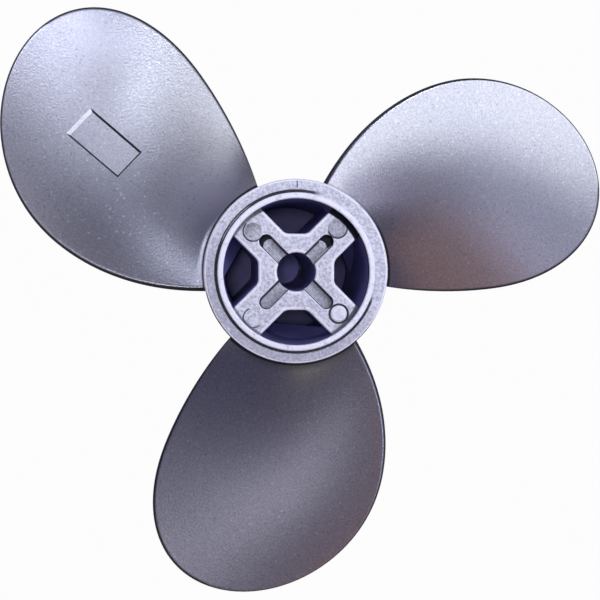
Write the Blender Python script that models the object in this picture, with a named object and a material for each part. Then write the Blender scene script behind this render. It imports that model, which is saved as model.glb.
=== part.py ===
"""Three-blade outboard propeller, one aluminium casting, in metres.

The shaft axis is +Z. The centre of the closed tail's flat end is the origin, and the open hub end,
which meets the gearcase, faces up. The blades are right-handed.
"""
import math

import bmesh
import bpy
from mathutils import Matrix, Vector

# Hub, seen from its open front end
HUB_LENGTH = 0.050
HUB_RADIUS = 0.0237
HUB_DRAFT = 0.0008
BODY_RADIUS = HUB_RADIUS - HUB_DRAFT
TAIL_FLAT_RADIUS = 0.0125
TAIL_CURVE_HEIGHT = 0.016
BAND_EDGE_ROUND = 0.0012
BAND_EDGE_STEPS = 3
BAND_DROP = 0.0009
GROOVE_MOUTH_RADIUS = 0.0212
GROOVE_OUTER_RADIUS = 0.0209
GROOVE_INNER_RADIUS = 0.0203
GROOVE_DROP = 0.0018
LIP_CREST_OUTER = 0.0200
LIP_CREST_INNER = 0.0191
LIP_CHAMFER = 0.0004
CAVITY_RADIUS = 0.0187
HUB_SEGMENTS = 72
TAIL_STEPS = 7

# Spider of four arms round the shaft bore
SPIDER_DROP = 0.0017
ARM_HALF_WIDTH = 0.0049
BOSS_FLAT_DISTANCE = 0.0098
ARM_COUNT = 4
POCKET_FLOOR = 0.0150
POCKET_DRAFT_SCALE = 0.95
POCKET_ARC_STEPS = 10
BORE_RADIUS = 0.0050
BORE_FLOOR = 0.0045
BORE_SEGMENTS = 32
SLOT_TURNS = (math.radians(45), math.radians(135))
SLOT_WIDTH = 0.0037
SLOT_REACH = 0.0128
SLOT_DROP = 0.0026
SLOT_END_STEPS = 8
COTTER_RADIUS = 0.0021
COTTER_HEIGHT = 0.0085
COTTER_SEGMENTS = 20

# Blades
BLADE_COUNT = 3
FIRST_BLADE_ANGLE = math.radians(27.5)
TIP_RADIUS = 0.092
ROOT_RADIUS = 0.0216
WIDEST_RADIUS = 0.0635
WIDEST_HALF_WIDTH = 0.0315
INNER_TAPER = 0.98
INNER_TAPER_POWER = 1.77
OUTER_ROUND_POWER = 2.17
SKEW_START = math.radians(0.85)
SKEW_LINEAR = math.radians(-2.8)
SKEW_SQUARE = math.radians(-8.8)
PITCH = 0.107
BLADE_SET_BACK = 0.0187
FORWARD_RAKE = 0.0587
ROOT_THICKNESS = 0.0062
TIP_THICKNESS = 0.0030
EDGE_HALF_THICKNESS = 0.0009
ROOT_FILLET = 0.0025
EDGE_FILLET = 0.0040
TRAILING_CUT = 0.0060
TRAILING_CUT_END = 0.066
FILLET_STATIONS = 4
INNER_STATIONS = 6
OUTER_STATIONS = 13
CHORD_STATIONS = 20

CUT_CLEARANCE = 0.004
MERGE_DISTANCE = 1e-6
SHARP_ANGLE = math.radians(35)


def clear_scene():
    """Remove every object that the opened file holds."""
    for item in list(bpy.data.objects):
        bpy.data.objects.remove(item, do_unlink=True)


def cast_aluminium():
    """Bare silver-grey cast metal."""
    material = bpy.data.materials.new("cast_aluminium")
    material.use_nodes = True
    shader = material.node_tree.nodes["Principled BSDF"]
    shader.inputs["Base Color"].default_value = (0.52, 0.52, 0.57, 1.0)
    shader.inputs["Metallic"].default_value = 0.9
    shader.inputs["Roughness"].default_value = 0.42
    return material


def add_object(name, shape, material=None):
    """Turn a bmesh into an object, with its faces pointing outwards."""
    bmesh.ops.remove_doubles(shape, verts=shape.verts, dist=MERGE_DISTANCE)
    bmesh.ops.recalc_face_normals(shape, faces=shape.faces)
    mesh = bpy.data.meshes.new(name)
    shape.to_mesh(mesh)
    shape.free()
    mesh.shade_smooth()
    mesh.set_sharp_from_angle(angle=SHARP_ANGLE)
    item = bpy.data.objects.new(name, mesh)
    bpy.context.scene.collection.objects.link(item)
    if material:
        mesh.materials.append(material)
    return item


def as_tool(item):
    """Mark an object as a shape that only joins or cuts another."""
    item.display_type = "WIRE"
    item.hide_render = True
    return item


def combine(target, tool, operation):
    """Join a tool to the target, or cut it out of the target."""
    step = target.modifiers.new(f"{operation.lower()} {tool.name}", "BOOLEAN")
    step.object = tool
    step.operation = operation
    step.solver = "EXACT"


def hub_outline():
    """Half section of the hub's outside, from the axis at the front to the axis at the tail."""
    front = HUB_LENGTH
    band = front - BAND_DROP
    outline = [
        (0.0, front),
        (LIP_CREST_OUTER, front),
        (GROOVE_INNER_RADIUS, front - GROOVE_DROP),
        (GROOVE_OUTER_RADIUS, front - GROOVE_DROP),
        (GROOVE_MOUTH_RADIUS, band),
    ]
    for step in range(BAND_EDGE_STEPS + 1):
        turn = math.radians(90) * step / BAND_EDGE_STEPS
        inward = BAND_EDGE_ROUND * (1 - math.sin(turn))
        outline.append((HUB_RADIUS - inward, band - BAND_EDGE_ROUND * (1 - math.cos(turn))))
    for step in range(TAIL_STEPS + 1):
        turn = math.radians(90) * step / TAIL_STEPS
        radius = TAIL_FLAT_RADIUS + (BODY_RADIUS - TAIL_FLAT_RADIUS) * math.cos(turn)
        outline.append((radius, TAIL_CURVE_HEIGHT * (1 - math.sin(turn))))
    outline.append((0.0, 0.0))
    return outline


def turned(outline, segments):
    """Spin a half section all the way round the shaft axis."""
    shape = bmesh.new()
    points = [shape.verts.new((radius, 0.0, height)) for radius, height in outline]
    edges = [shape.edges.new(pair) for pair in zip(points, points[1:])]
    bmesh.ops.spin(shape, geom=points + edges, axis=(0, 0, 1), cent=(0, 0, 0),
                   angle=math.tau, steps=segments, use_merge=True)
    return shape


def upright_block(outline, low, high):
    """Extrude a flat outline, a list of x and y, from one height to another."""
    shape = bmesh.new()
    points = [shape.verts.new((x, y, high)) for x, y in outline]
    top = shape.faces.new(points)
    lower = bmesh.ops.extrude_face_region(shape, geom=[top])["geom"]
    moved = [part for part in lower if isinstance(part, bmesh.types.BMVert)]
    bmesh.ops.translate(shape, verts=moved, vec=(0, 0, low - high))
    return shape, moved


def recess_cutter():
    """The shallow round recess inside the lip, down to the spider's face, with a chamfered mouth."""
    face = HUB_LENGTH - SPIDER_DROP
    above = HUB_LENGTH + CUT_CLEARANCE
    outline = [
        (0.0, face),
        (CAVITY_RADIUS, face),
        (CAVITY_RADIUS, HUB_LENGTH - LIP_CHAMFER),
        (LIP_CREST_INNER, HUB_LENGTH),
        (LIP_CREST_INNER, above),
        (0.0, above),
    ]
    return turned(outline, HUB_SEGMENTS)


def pocket_cutter(turn):
    """One blind pocket between two arms: a flat towards the boss, two arm sides and the hub's wall."""
    arm_line = ARM_HALF_WIDTH * math.sqrt(2)
    half_flat = BOSS_FLAT_DISTANCE - arm_line
    corner_x = (math.sqrt(2 * CAVITY_RADIUS ** 2 - arm_line ** 2) - arm_line) / 2
    corner_angle = math.asin(corner_x / CAVITY_RADIUS)
    outline = [(-half_flat, BOSS_FLAT_DISTANCE), (half_flat, BOSS_FLAT_DISTANCE)]
    for step in range(POCKET_ARC_STEPS + 1):
        angle = corner_angle * (1 - 2 * step / POCKET_ARC_STEPS)
        outline.append((CAVITY_RADIUS * math.sin(angle), CAVITY_RADIUS * math.cos(angle)))
    shape, lower = upright_block(outline, POCKET_FLOOR, HUB_LENGTH - SPIDER_DROP + CUT_CLEARANCE)
    centre = Vector((0, (BOSS_FLAT_DISTANCE + CAVITY_RADIUS) / 2, 0))
    narrow = Matrix.Diagonal((POCKET_DRAFT_SCALE, POCKET_DRAFT_SCALE, 1, 1))
    bmesh.ops.transform(shape, verts=lower, space=Matrix.Translation(-centre), matrix=narrow)
    bmesh.ops.rotate(shape, verts=shape.verts, cent=(0, 0, 0), matrix=Matrix.Rotation(turn, 3, "Z"))
    return shape


def slot_cutter(turn):
    """A drive pin slot across the boss, with round ends, along one pair of arms."""
    radius = SLOT_WIDTH / 2
    centre = SLOT_REACH - radius
    outline = []
    for side in (1, -1):
        for step in range(SLOT_END_STEPS + 1):
            angle = math.pi * step / SLOT_END_STEPS - math.pi / 2
            outline.append((side * (centre + radius * math.cos(angle)), side * radius * math.sin(angle)))
    face = HUB_LENGTH - SPIDER_DROP
    shape, _ = upright_block(outline, face - SLOT_DROP, face + CUT_CLEARANCE)
    bmesh.ops.rotate(shape, verts=shape.verts, cent=(0, 0, 0), matrix=Matrix.Rotation(turn, 3, "Z"))
    return shape


def round_cutter(radius, low, high, segments):
    """A plain cylinder on the shaft axis."""
    shape = bmesh.new()
    place = Matrix.Translation((0, 0, (low + high) / 2))
    bmesh.ops.create_cone(shape, cap_ends=True, segments=segments, radius1=radius, radius2=radius,
                          depth=high - low, matrix=place)
    return shape


def cotter_cutter():
    """The cross hole through the tail for the pin that keeps the propeller on its shaft."""
    reach = HUB_RADIUS + CUT_CLEARANCE
    shape = round_cutter(COTTER_RADIUS, -reach, reach, COTTER_SEGMENTS)
    place = Matrix.Translation((0, 0, COTTER_HEIGHT)) @ Matrix.Rotation(math.pi / 2, 4, "Y")
    bmesh.ops.transform(shape, verts=shape.verts, matrix=place)
    return shape


def flare(radius, fillet):
    """How far a round fillet at the hub stands out at this radius."""
    reach = min(max(1 - (radius - BODY_RADIUS) / fillet, 0.0), 1.0)
    return fillet * (1 - math.sqrt(1 - reach ** 2))


def half_width(radius):
    """Half the blade's width along its arc, at one radius."""
    if radius <= WIDEST_RADIUS:
        inward = (WIDEST_RADIUS - radius) / WIDEST_RADIUS
        return WIDEST_HALF_WIDTH * (1 - INNER_TAPER * inward ** INNER_TAPER_POWER)
    outward = (radius - WIDEST_RADIUS) / (TIP_RADIUS - WIDEST_RADIUS)
    return WIDEST_HALF_WIDTH * math.sqrt(max(1 - outward ** OUTER_ROUND_POWER, 0.0))


def trailing_cut(radius):
    """How far the trailing edge runs in towards the blade's middle near the hub."""
    return TRAILING_CUT * max(1 - radius / TRAILING_CUT_END, 0.0) ** 2


def skew_angle(radius):
    """The blade's middle line sweeps back towards the tip."""
    along = (radius - HUB_RADIUS) / (TIP_RADIUS - HUB_RADIUS)
    return SKEW_START + SKEW_LINEAR * along + SKEW_SQUARE * along * abs(along)


def edge_closeness(radius, across):
    """0 on the blade's middle, 1 on its edge."""
    outward = max((radius - WIDEST_RADIUS) / (TIP_RADIUS - WIDEST_RADIUS), 0.0) ** OUTER_ROUND_POWER
    return math.sqrt(min(outward + across ** 2 * (1 - outward), 1.0))


def half_thickness(radius, across):
    """Half the blade's thickness: fuller at the middle, and round at the edge."""
    near = edge_closeness(radius, across)
    along = min(max((radius - HUB_RADIUS) / (TIP_RADIUS - HUB_RADIUS), 0.0), 1.0)
    full = (ROOT_THICKNESS + (TIP_THICKNESS - ROOT_THICKNESS) * along) / 2
    rim = EDGE_HALF_THICKNESS / WIDEST_HALF_WIDTH
    into_rim = max((near - 1 + rim) / rim, 0.0)
    edge = EDGE_HALF_THICKNESS * math.sqrt(max(1 - into_rim ** 2, 0.0))
    return edge + (full - EDGE_HALF_THICKNESS + flare(radius, ROOT_FILLET)) * (1 - near ** 2)


def blade_point(radius, across, side):
    """A point of the blade: on its middle screw surface, then off along the surface's normal."""
    width = half_width(radius) + flare(radius, EDGE_FILLET)
    swing = across * width + (1 - across) * trailing_cut(radius) / 2
    angle = skew_angle(radius) + swing / radius
    lead = PITCH / math.tau
    rise = HUB_LENGTH - BLADE_SET_BACK + lead * angle + FORWARD_RAKE * (radius - HUB_RADIUS)
    along_arc = Vector((-math.sin(angle), math.cos(angle), lead / radius))
    along_radius = Vector((math.cos(angle), math.sin(angle), FORWARD_RAKE))
    normal = along_radius.cross(along_arc).normalized()
    place = Vector((radius * math.cos(angle), radius * math.sin(angle), rise))
    return place + normal * side * half_thickness(radius, across)


def radial_stations():
    """Radii from inside the hub to the tip, closer together where the tip rounds."""
    fillet = [BODY_RADIUS + EDGE_FILLET * (step / FILLET_STATIONS) ** 2 for step in range(FILLET_STATIONS)]
    start = BODY_RADIUS + EDGE_FILLET
    inner = [start + (WIDEST_RADIUS - start) * step / INNER_STATIONS for step in range(INNER_STATIONS)]
    outer = [WIDEST_RADIUS + (TIP_RADIUS - WIDEST_RADIUS) * math.sin(math.pi / 2 * step / OUTER_STATIONS)
             for step in range(OUTER_STATIONS + 1)]
    return [ROOT_RADIUS] + fillet + inner + outer


def blade(turn):
    """Two skins over one grid, which meet round the blade's edge, closed by a cap inside the hub."""
    stations = radial_stations()
    shape = bmesh.new()
    for side in (1, -1):
        skin = bmesh.ops.create_grid(shape, x_segments=len(stations) - 1, y_segments=CHORD_STATIONS, size=1.0)
        for vert in skin["verts"]:
            row = round((vert.co.x + 1) / 2 * (len(stations) - 1))
            across = math.sin(vert.co.y * math.pi / 2)
            vert.co = blade_point(stations[row], across, side)
    bmesh.ops.remove_doubles(shape, verts=shape.verts, dist=MERGE_DISTANCE)
    root_edges = [edge for edge in shape.edges if edge.is_boundary]
    bmesh.ops.contextual_create(shape, geom=root_edges)
    bmesh.ops.rotate(shape, verts=shape.verts, cent=(0, 0, 0), matrix=Matrix.Rotation(turn, 3, "Z"))
    return shape


def propeller_casting():
    """The whole casting: blades joined to the hub, then the hollows of the open end cut in."""
    casting = add_object("propeller_casting", turned(hub_outline(), HUB_SEGMENTS), cast_aluminium())
    for number in range(BLADE_COUNT):
        turn = FIRST_BLADE_ANGLE + math.tau * number / BLADE_COUNT
        combine(casting, as_tool(add_object(f"blade_{number + 1}", blade(turn))), "UNION")
    cuts = [("front_recess", recess_cutter())]
    for number in range(ARM_COUNT):
        cuts.append((f"pocket_{number + 1}", pocket_cutter(math.tau * number / ARM_COUNT)))
    bore = round_cutter(BORE_RADIUS, BORE_FLOOR, HUB_LENGTH + CUT_CLEARANCE, BORE_SEGMENTS)
    cuts.append(("shaft_bore", bore))
    for number, turn in enumerate(SLOT_TURNS, start=1):
        cuts.append((f"pin_slot_{number}", slot_cutter(turn)))
    cuts.append(("cotter_hole", cotter_cutter()))
    for name, shape in cuts:
        combine(casting, as_tool(add_object(name, shape)), "DIFFERENCE")


clear_scene()
propeller_casting()
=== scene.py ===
# %% [markdown]
# # A small outboard propeller, dressed for its photograph
# The real thing is one aluminium die casting: three blades, a hub that is open towards the gearcase,
# and a closed round tail. The imported model already holds its construction. This lesson makes the
# fine surface: rounded edges, ejector marks, a framed panel, grain, painted glints, painted shade in
# the pockets and corners, painted highlights on the edges, and light.
# The shaft axis is +Z, the open hub end faces up, and the propeller stands on its tail. Left, right,
# upper and lower are meant as in the picture, where +X points right and +Y points up.

# %% Load the frame and keep its box
import math

import bmesh
import bpy
from mathutils import Matrix, Vector


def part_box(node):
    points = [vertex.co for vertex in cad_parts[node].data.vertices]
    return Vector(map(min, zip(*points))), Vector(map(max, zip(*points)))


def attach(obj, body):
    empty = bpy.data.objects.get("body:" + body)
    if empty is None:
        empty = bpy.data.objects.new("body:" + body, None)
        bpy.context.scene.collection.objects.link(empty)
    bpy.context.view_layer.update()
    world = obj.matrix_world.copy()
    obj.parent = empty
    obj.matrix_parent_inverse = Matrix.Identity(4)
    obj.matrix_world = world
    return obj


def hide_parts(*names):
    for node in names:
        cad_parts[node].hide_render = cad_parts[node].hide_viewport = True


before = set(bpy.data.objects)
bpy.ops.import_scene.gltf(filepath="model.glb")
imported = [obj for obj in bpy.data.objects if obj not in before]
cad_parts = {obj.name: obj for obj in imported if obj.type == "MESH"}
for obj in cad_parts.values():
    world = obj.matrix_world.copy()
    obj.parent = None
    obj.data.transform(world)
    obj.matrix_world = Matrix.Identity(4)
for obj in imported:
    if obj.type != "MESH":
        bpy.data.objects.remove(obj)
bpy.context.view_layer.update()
NODE = "propeller_casting"
MM = 0.001


def in_mm(values):
    return [round(value / MM, 1) for value in values]


# %% [markdown]
# ## Driving sizes
# Everything below is worked out from a few real sizes. The hub's length is read from the frame, so
# that the surface sits where the solids are. The rest are given here: radii of the hub's rings,
# widths of the arms, and the pitch, skew and thickness of a blade.

# %% Sizes of the hub
FRONT = round(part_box(NODE)[1].z, 4)
HUB_RADIUS = 23.7 * MM
BODY_RADIUS = 22.9 * MM
TAIL_FLAT_RADIUS = 12.5 * MM
TAIL_CURVE_HEIGHT = 16 * MM
BAND = FRONT - 0.9 * MM
BAND_EDGE_ROUND = 0.6 * MM
GROOVE_OUTER_RADIUS = 20.95 * MM
LIP_OUTER_RADIUS = 20.2 * MM
LIP_ROUND = 0.35 * MM
CAVITY_RADIUS = 18.7 * MM
CAVITY_FLOOR_RADIUS = 18.0 * MM
POCKET_FLOOR = 15 * MM
FACE = FRONT - 1.7 * MM
print(f"hub {FRONT / MM:.1f} mm long, {2 * HUB_RADIUS / MM:.1f} mm across")

# %% Sizes of the spider
ARM_HALF_WIDTH = 4.9 * MM
ARM_REACH = 19.2 * MM
BOSS_FLAT = 9.8 * MM
BORE_RADIUS = 5.0 * MM
BORE_FLOOR = 4.5 * MM
SLOT_WIDTH = 3.7 * MM
SLOT_REACH = 12.8 * MM
SLOT_END_CENTRE = SLOT_REACH - SLOT_WIDTH / 2
SLOT_DROP = 2.6 * MM
COTTER_RADIUS = 2.1 * MM
COTTER_HEIGHT = 8.5 * MM
print(f"arms {2 * ARM_HALF_WIDTH / MM:.1f} mm wide, bore {2 * BORE_RADIUS / MM:.1f} mm")

# %% Sizes of a blade
TIP_RADIUS = 91.95 * MM
ROOT_RADIUS = 21.6 * MM
WIDEST_RADIUS = 63.5 * MM
WIDEST_HALF_WIDTH = 31.5 * MM
INNER_TAPER = 0.98
INNER_POWER = 1.77
OUTER_POWER = 2.17
SKEW_DEGREES = (0.85, -2.8, -8.8)
PITCH = 107 * MM
SET_BACK = 18.7 * MM
FORWARD_RAKE = 0.0587
ROOT_THICKNESS = 6.2 * MM
TIP_THICKNESS = 3.0 * MM
EDGE_HALF_THICKNESS = 0.9 * MM
ROOT_FILLET = 2.5 * MM
LEADING_FILLET = 1.0 * MM
TRAILING_FILLET = 3.0 * MM
TRAILING_CUT = 6.0 * MM
TRAILING_CUT_END = 66 * MM
BLADE_ANGLES = [math.radians(27.5 + 120 * number) for number in range(3)]
print(f"blade circle {2 * TIP_RADIUS / MM:.1f} mm, pitch {PITCH / MM:.0f} mm")

# %% [markdown]
# ## The camera first
# The photograph looks almost straight down the shaft from close by, about 0.2 m from the hub's face,
# from a little above and to the left. A long lens from far away would flatten the near and far edges
# of the blades, so the distance matters as much as the angle. The hub lies above the picture's
# middle, which is a sideways move of the camera and needs no lens shift.

# %% Camera
CAMERA_DISTANCE = 200.1 * MM
CAMERA_ASIDE = (0.71 * MM, -7.06 * MM)
CAMERA_TILT = (0.068, 0.1031)
SENSOR_WIDTH = 36
PICTURE_SIZE = 600
FOCAL_PIXELS = 787.4

tilt = Vector((*CAMERA_TILT, 0.0))
look = Matrix.Rotation(-tilt.length, 4, tilt.normalized())
camera_data = bpy.data.cameras.new("photo_camera")
camera_data.sensor_width = SENSOR_WIDTH
camera_data.lens = SENSOR_WIDTH * FOCAL_PIXELS / PICTURE_SIZE
camera_data.clip_start = 10 * MM
camera = bpy.data.objects.new("photo_camera", camera_data)
bpy.context.scene.collection.objects.link(camera)
place = Matrix.Translation((*CAMERA_ASIDE, CAMERA_DISTANCE))
camera.matrix_world = Matrix.Translation((0, 0, FRONT)) @ look @ place
bpy.context.scene.camera = camera
print("camera at", in_mm(camera.matrix_world.translation), "mm")

# %% [markdown]
# ## Small helpers
# Each shape is a bmesh until it is finished. `as_object` closes it: doubles are merged and the faces
# are turned outwards, and the mesh becomes an object at the origin. `cut_or_join` runs one exact
# Boolean between two objects and keeps only the result, so no live modifier is left on the casting.
# Boolean keeps face attributes, so `tag` can mark the faces of a tool for the finish: one attribute
# where edges are rubbed bright and get a painted highlight, and one that carries painted shade.

# %% Helpers for solids
MERGE = 1e-6
TOOL_CLEAR = 3 * MM


def as_object(name, shape):
    bmesh.ops.remove_doubles(shape, verts=shape.verts, dist=MERGE)
    bmesh.ops.recalc_face_normals(shape, faces=shape.faces)
    mesh = bpy.data.meshes.new(name)
    shape.to_mesh(mesh)
    shape.free()
    item = bpy.data.objects.new(name, mesh)
    bpy.context.scene.collection.objects.link(item)
    return item


def cut_or_join(target, tool, operation):
    step = target.modifiers.new("step", "BOOLEAN")
    step.object = tool
    step.operation = operation
    step.solver = "EXACT"
    graph = bpy.context.evaluated_depsgraph_get()
    result = bpy.data.meshes.new_from_object(target.evaluated_get(graph))
    target.modifiers.clear()
    old = target.data
    target.data = result
    bpy.data.meshes.remove(old)
    bpy.data.objects.remove(tool)


def tag(shape, name, rule):
    layer = shape.faces.layers.float.new(name)
    for face in shape.faces:
        middle = face.calc_center_median()
        face[layer] = float(rule(math.hypot(middle.x, middle.y), middle.z))


def turned(profile, segments):
    shape = bmesh.new()
    points = [shape.verts.new((radius, 0, height)) for radius, height in profile]
    edges = [shape.edges.new(pair) for pair in zip(points, points[1:])]
    bmesh.ops.spin(shape, geom=points + edges, axis=(0, 0, 1), cent=(0, 0, 0),
                   angle=math.tau, steps=segments, use_merge=True)
    return shape


def arc(centre, radius, start, end, steps):
    """Points of a round corner in the half section, with angles in degrees."""
    angles = [math.radians(start + (end - start) * step / steps) for step in range(steps + 1)]
    return [(centre[0] + radius * math.cos(a), centre[1] + radius * math.sin(a)) for a in angles]


def polar(distance, degrees):
    angle = math.radians(degrees)
    return Vector((distance * math.cos(angle), distance * math.sin(angle), 0))


def smooth(value):
    """0 below 0, 1 above 1, and a soft rise between them."""
    value = min(max(value, 0), 1)
    return value * value * (3 - 2 * value)


print("half way up the soft rise:", smooth(0.5))

# %% [markdown]
# ## The hub shell
# On the real casting the hub is a cup: a thick wall with a cored hollow, and a solid round tail. A
# lathe shape is one half section spun round the axis, so every ring is drawn once: the bright
# round lip, the narrow groove beside it, the flat outer band and its rounded rim. The groove is
# deep on one side and filled on the other, so its floor is scaled towards the band by angle. On
# the upper left a thin ridge stands in it, which is why two dark lines show there. Where it is
# filled, a hundredth of the depth stays, so that no faces fall together.

# %% Section of the hub
GROOVE_DEPTH = 0.9 * MM
GROOVE_MOUTH_ROUND = 0.25 * MM
LIP_FOOT_DROP = 0.1 * MM
TAIL_STEPS = 16


def hub_section():
    groove_round = (GROOVE_OUTER_RADIUS - LIP_OUTER_RADIUS) / 2
    groove_centre = (LIP_OUTER_RADIUS + groove_round, BAND - GROOVE_DEPTH + groove_round)
    mouth = (GROOVE_OUTER_RADIUS + GROOVE_MOUTH_ROUND, BAND - GROOVE_MOUTH_ROUND)
    rim = (HUB_RADIUS - BAND_EDGE_ROUND, BAND - BAND_EDGE_ROUND)
    section = [(0, POCKET_FLOOR), (CAVITY_FLOOR_RADIUS, POCKET_FLOOR), (CAVITY_RADIUS, FACE)]
    section += arc((CAVITY_RADIUS + LIP_ROUND, FRONT - LIP_ROUND), LIP_ROUND, 180, 90, 5)
    section += arc((LIP_OUTER_RADIUS - LIP_ROUND, FRONT - LIP_ROUND), LIP_ROUND, 90, 0, 5)
    section += [(LIP_OUTER_RADIUS, BAND - LIP_FOOT_DROP)]
    section += arc(groove_centre, groove_round, 180, 360, 10)
    section += arc(mouth, GROOVE_MOUTH_ROUND, 180, 90, 4)
    section += arc(rim, BAND_EDGE_ROUND, 90, 0, 6)
    return section + tail_section()


def tail_section():
    points = []
    for step in range(TAIL_STEPS + 1):
        lean = math.pi / 2 * step / TAIL_STEPS
        radius = TAIL_FLAT_RADIUS + (BODY_RADIUS - TAIL_FLAT_RADIUS) * math.cos(lean)
        points.append((radius, TAIL_CURVE_HEIGHT * (1 - math.sin(lean))))
    return points + [(0, 0)]


print("points in the hub's section:", len(hub_section()))

# %% Spin the hub shell
HUB_SEGMENTS = 144
GROOVE_FILLED_SIDE = 28
GROOVE_FILLED_REACH = 38
GROOVE_FILLED_FADE = 30
GROOVE_LEAST_DEPTH = 0.01
GROOVE_RIDGE_SIDE = 142
GROOVE_RIDGE_REACH = 32
GROOVE_RIDGE_FADE = 20
GROOVE_RIDGE_HEIGHT = 0.8


def degrees_apart(first, second):
    return abs((first - second + 180) % 360 - 180)


def groove_depth(degrees, share_across):
    """Share of the full depth: hardly any on the filled side, and less on the ridge in the middle."""
    from_filled = degrees_apart(degrees, GROOVE_FILLED_SIDE)
    from_ridge = degrees_apart(degrees, GROOVE_RIDGE_SIDE)
    open_share = smooth((from_filled - GROOVE_FILLED_REACH) / GROOVE_FILLED_FADE)
    along = smooth(GROOVE_RIDGE_REACH / GROOVE_RIDGE_FADE - from_ridge / GROOVE_RIDGE_FADE)
    ridge = GROOVE_RIDGE_HEIGHT * along * smooth(1.5 - abs(share_across) * 2)
    return (GROOVE_LEAST_DEPTH + (1 - GROOVE_LEAST_DEPTH) * open_share) * (1 - ridge)


# The lip's crest and the band's rounded rim get a painted highlight as well as wear.
def on_worn_and_highlit_ring(ring, height):
    crest = CAVITY_RADIUS < ring < LIP_OUTER_RADIUS and height > FRONT - LIP_ROUND
    return crest or ring > HUB_RADIUS - BAND_EDGE_ROUND and height > BAND - BAND_EDGE_ROUND


hub = turned(hub_section(), HUB_SEGMENTS)
groove_middle = (LIP_OUTER_RADIUS + GROOVE_OUTER_RADIUS) / 2
flat_band_end = HUB_RADIUS - BAND_EDGE_ROUND - MERGE
for vert in hub.verts:
    radius = math.hypot(vert.co.x, vert.co.y)
    if LIP_OUTER_RADIUS - MERGE < radius < flat_band_end and BAND / 2 < vert.co.z < BAND:
        share_across = (radius - groove_middle) / (GROOVE_OUTER_RADIUS - groove_middle)
        depth = groove_depth(math.degrees(math.atan2(vert.co.y, vert.co.x)), share_across)
        vert.co.z = BAND + (vert.co.z - BAND) * depth
tag(hub, "worn_and_highlit", on_worn_and_highlit_ring)
casting = as_object("cast_propeller", hub)
print("hub shell faces:", len(casting.data.polygons))

# %% [markdown]
# ## The scribed tick
# A short line is scribed across the band at the top. A thin box cuts it, and its faces get
# painted shade.

# %% Cut the tick
TICK_LENGTH = 1.9 * MM
TICK_WIDTH = 0.28 * MM
TICK_DEPTH = 0.3 * MM
TICK_OUTWARDS = 0.2 * MM
TICK_SHADE = 0.6


def tick():
    shape = bmesh.new()
    bmesh.ops.create_cube(shape, size=1)
    bmesh.ops.scale(shape, verts=shape.verts, vec=(TICK_WIDTH, TICK_LENGTH, 2 * TICK_DEPTH))
    middle = (GROOVE_OUTER_RADIUS + HUB_RADIUS - BAND_EDGE_ROUND) / 2 + TICK_OUTWARDS
    bmesh.ops.translate(shape, verts=shape.verts, vec=(0, middle, BAND))
    # Painted shade in the scribed line.
    tag(shape, "painted_shade", lambda ring, height: TICK_SHADE)
    return shape


cut_or_join(casting, as_object("tick", tick()), "DIFFERENCE")
print("with the tick:", len(casting.data.polygons))

# %% [markdown]
# ## The spider
# Four arms on the diagonals carry the octagonal boss that takes the shaft. Its plan is one face. A
# vertex bevel rounds the corners where an arm leaves the boss, an extrusion gives it depth, and the
# lower end is scaled up a little, because a cast rib widens towards its root so that the core pulls.
# An edge bevel rounds the rim of its face: nothing cast has a knife edge, and the bright lines
# round the arms in the photograph are light on this small radius.

# %% Extrude the spider and join it to the shell
INNER_CORNER_ROUND = 0.9 * MM
RIB_SPREAD = 1.05
RIB_FOOT = POCKET_FLOOR - 0.5 * MM
EDGE_ROUND = 0.45 * MM


def spider_plan():
    along = Vector((1, 1)).normalized() * ARM_REACH
    across = Vector((-1, 1)).normalized() * ARM_HALF_WIDTH
    half_flat = BOSS_FLAT - ARM_HALF_WIDTH * math.sqrt(2)
    quarter = [Vector((-half_flat, BOSS_FLAT)), Vector((half_flat, BOSS_FLAT))]
    quarter += [along + across, along - across]
    turns = [Matrix.Rotation(-math.pi / 2 * number, 2) for number in range(4)]
    return [quarter_turn @ point for quarter_turn in turns for point in quarter]


def spider_block():
    shape = bmesh.new()
    plan = [shape.verts.new((*point, FACE)) for point in spider_plan()]
    shape.faces.new(plan)
    inner = [vert for vert in plan if math.hypot(vert.co.x, vert.co.y) < SLOT_REACH]
    bmesh.ops.bevel(shape, geom=inner, offset=INNER_CORNER_ROUND, offset_type="OFFSET", segments=5,
                    profile=0.5, affect="VERTICES", material=-1)
    grown = bmesh.ops.extrude_face_region(shape, geom=shape.faces[:])["geom"]
    foot = [part for part in grown if isinstance(part, bmesh.types.BMVert)]
    bmesh.ops.translate(shape, verts=foot, vec=(0, 0, RIB_FOOT - FACE))
    bmesh.ops.scale(shape, verts=foot, vec=(RIB_SPREAD, RIB_SPREAD, 1))
    rim = [edge for edge in shape.edges if all(vert.co.z > FACE - MERGE for vert in edge.verts)
           and min(math.hypot(*vert.co.xy) for vert in edge.verts) < CAVITY_RADIUS]
    bmesh.ops.bevel(shape, geom=rim, offset=EDGE_ROUND, offset_type="OFFSET", segments=4,
                    profile=0.5, affect="EDGES", material=-1)
    # The rounded rim of the face gets a painted highlight as well as wear.
    tag(shape, "worn_and_highlit", lambda ring, height: FACE - EDGE_ROUND < height < FACE - MERGE)
    return shape


cut_or_join(casting, as_object("spider", spider_block()), "UNION")
print("shell and spider faces:", len(casting.data.polygons))

# %% [markdown]
# ## Bore and pin slots
# The shaft goes in a plain bore, and a steel pin through the shaft lies in two of the four slots and
# turns the propeller. The tools are turned, with a flared mouth that leaves a rounded edge, which
# gets a painted highlight as well as wear. A slot's tool is a round one drawn out, whose lower end
# is narrower and set a little to one side, so that its walls, which carry painted shade, show as
# dark lines; its floor carries a little painted shade too. The two upper slots end in a black
# crescent: a round pit whose inner part is filled by a tongue, the round end of the slot's floor.
# The pit's walls and floor carry painted shade. The tongue starts under the pit's floor and ends a
# hair under the slot's, because two faces in one place spoil a Boolean.

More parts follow.
